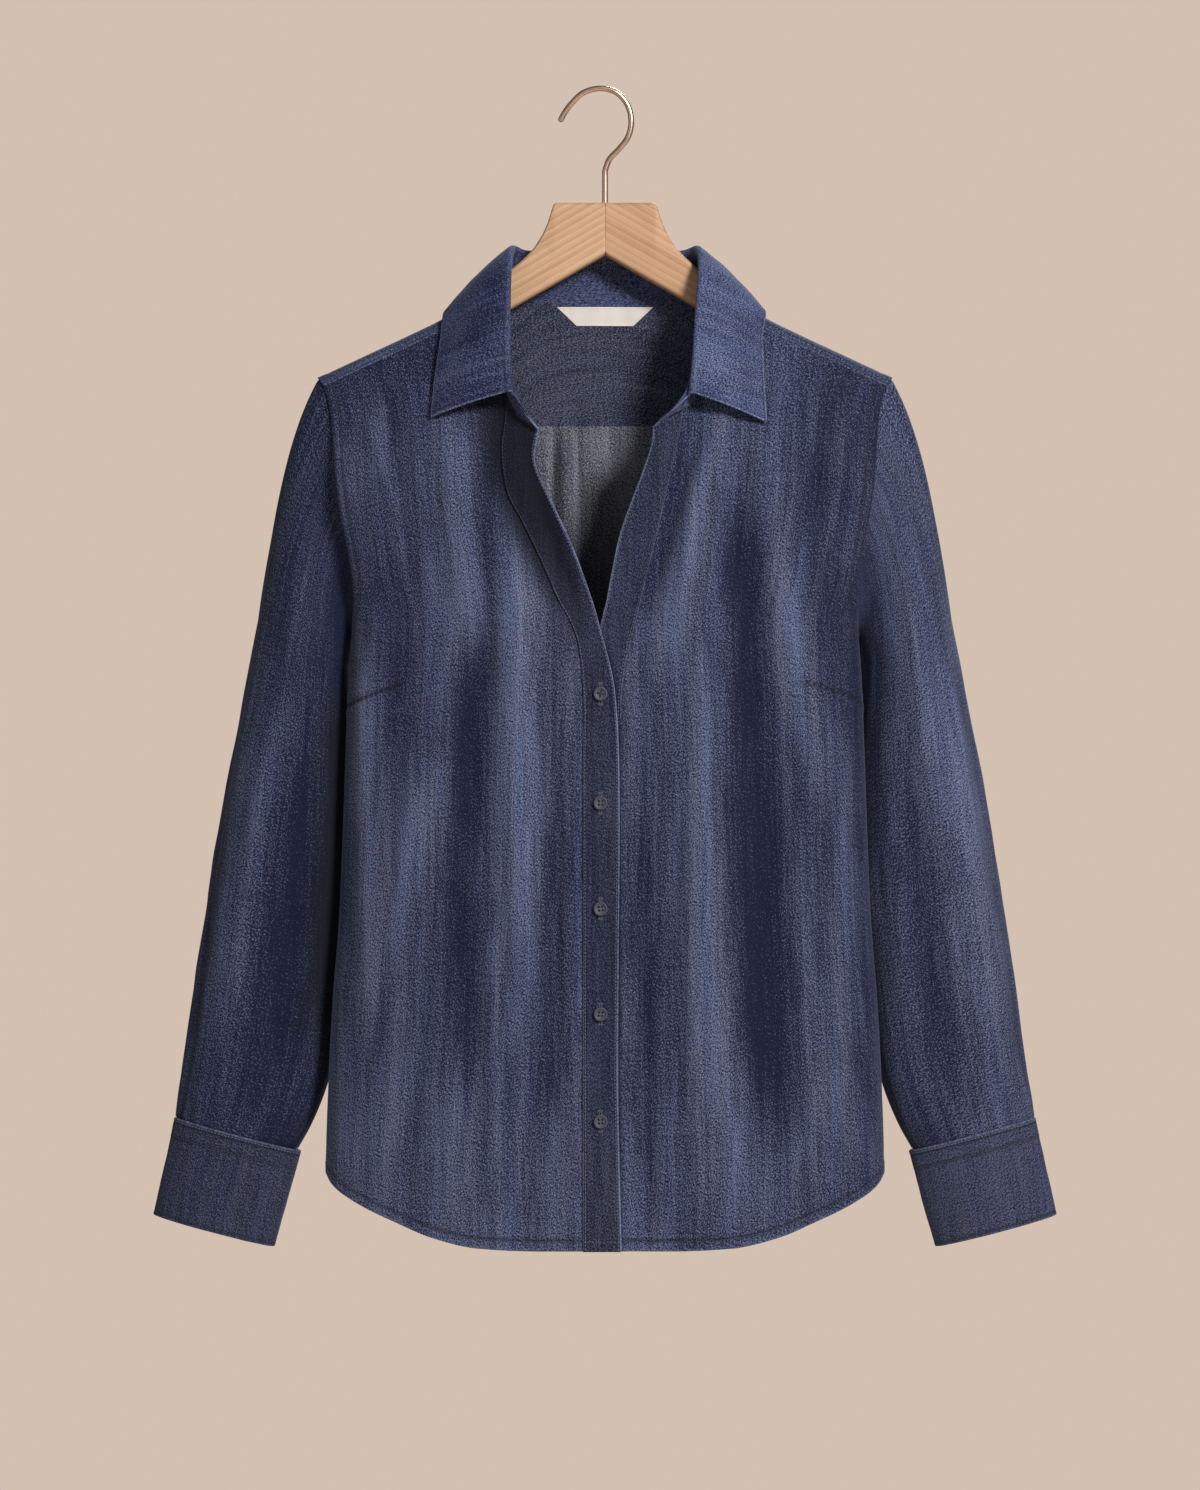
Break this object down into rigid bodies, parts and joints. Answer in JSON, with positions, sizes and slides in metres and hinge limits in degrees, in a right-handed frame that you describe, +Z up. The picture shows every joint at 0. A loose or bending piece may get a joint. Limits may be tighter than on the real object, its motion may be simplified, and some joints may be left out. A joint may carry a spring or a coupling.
{
  "type": "blouse on a wooden hanger",
  "caption": "Long-sleeved blue cotton twill blouse with an open collar and buttoned front, held on a contoured wooden hanger with a wire hook.",
  "frame": {"origin": "underside of the top of the hanger's hook, where a rail or peg carries it", "axes": "+Z up, -Y the wearer's front, -X the wearer's right"},
  "size_m": [0.6504, 0.1254, 0.8359],
  "materials": {
    "chambray": "washed twill, matt",
    "button": "semi-gloss",
    "label": "smooth woven tape",
    "wood": "satin lacquer",
    "hook_metal": "satin copper-toned plating"
  },
  "bodies": {
    "root": {"front_right": "chambray", "front_left": "chambray", "front_band_right": "chambray", "front_band_left": "chambray", "back": "chambray", "yoke": "chambray", "collar_stand": "chambray", "collar_fall": "chambray", "sleeve_right": "chambray", "sleeve_left": "chambray", "sleeve_placket_right": "chambray", "sleeve_placket_left": "chambray", "cuff_right": "chambray", "cuff_left": "chambray", "front_button_1": "button", "front_button_2": "button", "front_button_3": "button", "front_button_4": "button", "front_button_5": "button", "cuff_button_right": "button", "cuff_button_left": "button", "neck_label": "label", "hanger_arm_right": "wood", "hanger_arm_left": "wood", "hanger_hook": "hook_metal"}
  },
  "joints": []
}
